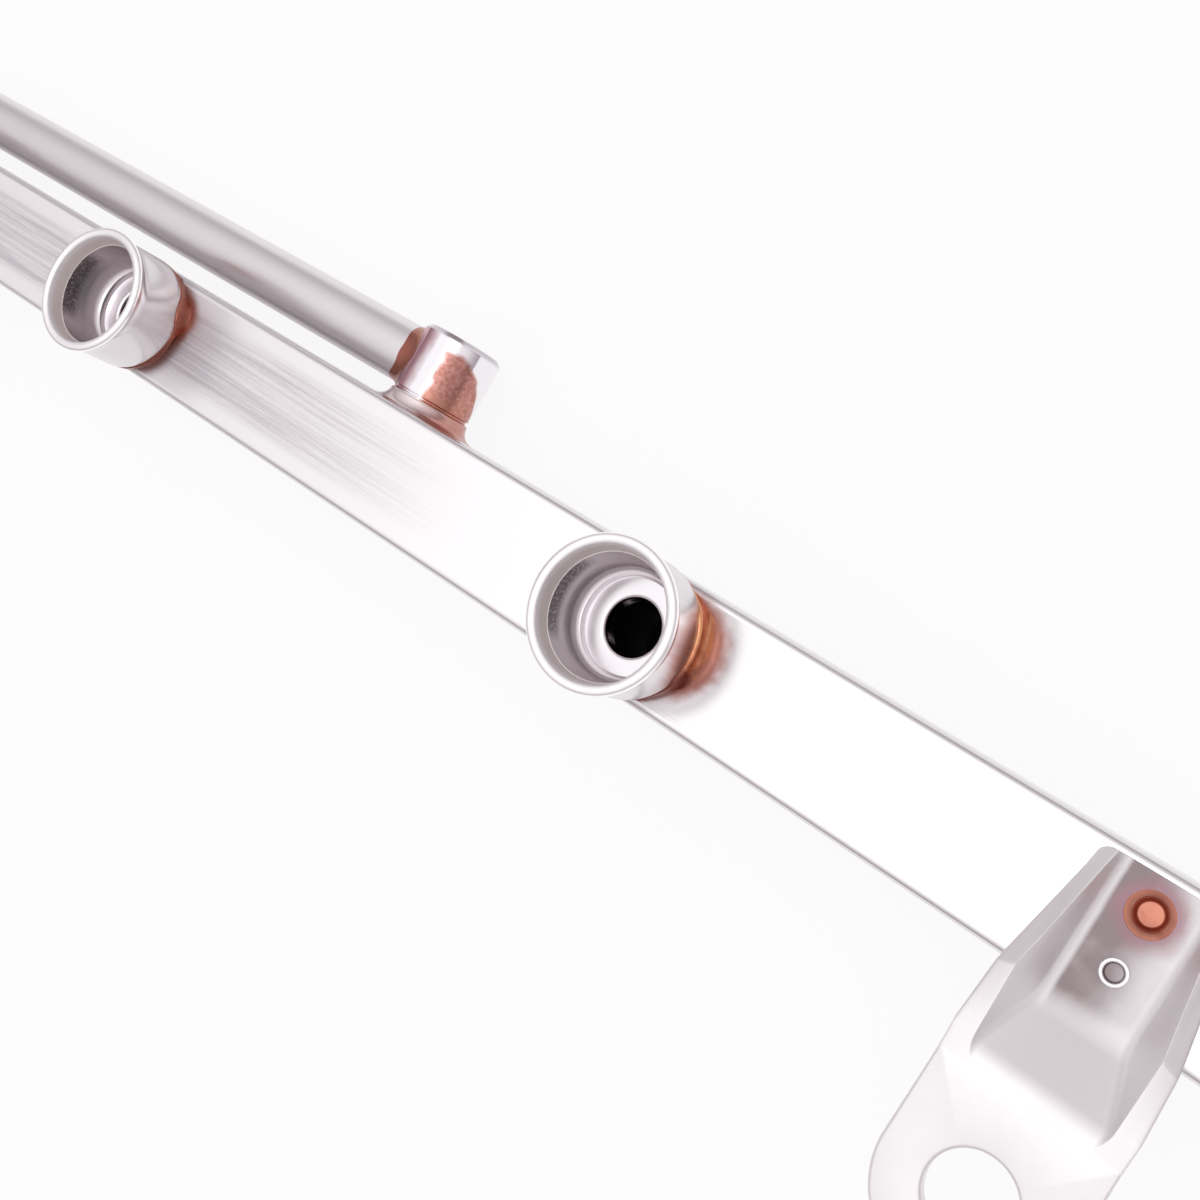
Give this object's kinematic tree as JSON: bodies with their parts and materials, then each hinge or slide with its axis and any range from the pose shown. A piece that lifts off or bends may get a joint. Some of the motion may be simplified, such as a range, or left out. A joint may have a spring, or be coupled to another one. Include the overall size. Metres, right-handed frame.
{
  "type": "fuel rail",
  "caption": "Square-tube stainless fuel rail with drawn injector cups, a side feed boss with its beaded pipe, and pressed mounting brackets, joined with copper braze.",
  "frame": {"origin": "middle of the rail tube's back face, the face away from the injector cups", "axes": "+X along the rail, away from the feed pipe's free end; +Y towards the side with the feed boss; +Z along the injector cups, out of their mouths, towards the engine"},
  "size_m": [0.34, 0.054, 0.0253],
  "materials": {
    "drawn_tube": "bright drawn stainless steel with fine lengthwise draw lines",
    "drawn_cup": "bright deep-drawn stainless steel with fine lines round the wall",
    "turned_boss": "turned stainless steel, bright, stained by braze heat",
    "drawn_pipe": "satin drawn stainless pipe",
    "pressed_steel": "matt pickled sheet steel",
    "copper_braze": "furnace-brazed copper, glossy, red brown to orange"
  },
  "bodies": {
    "root": {"rail_tube": "drawn_tube", "end_cap_left": "pressed_steel", "end_cap_right": "pressed_steel", "end_cap_braze_left": "copper_braze", "end_cap_braze_right": "copper_braze", "injector_cup_1": "drawn_cup", "injector_cup_2": "drawn_cup", "injector_cup_3": "drawn_cup", "injector_cup_4": "drawn_cup", "cup_braze_1": "copper_braze", "cup_braze_2": "copper_braze", "cup_braze_3": "copper_braze", "cup_braze_4": "copper_braze", "feed_boss": "turned_boss", "feed_boss_braze": "copper_braze", "feed_pipe": "drawn_pipe", "feed_pipe_braze": "copper_braze", "pipe_saddle": "pressed_steel", "pipe_saddle_braze": "copper_braze", "bracket_left": "pressed_steel", "bracket_right": "pressed_steel", "bracket_braze_left": "copper_braze", "bracket_braze_right": "copper_braze"}
  },
  "joints": []
}
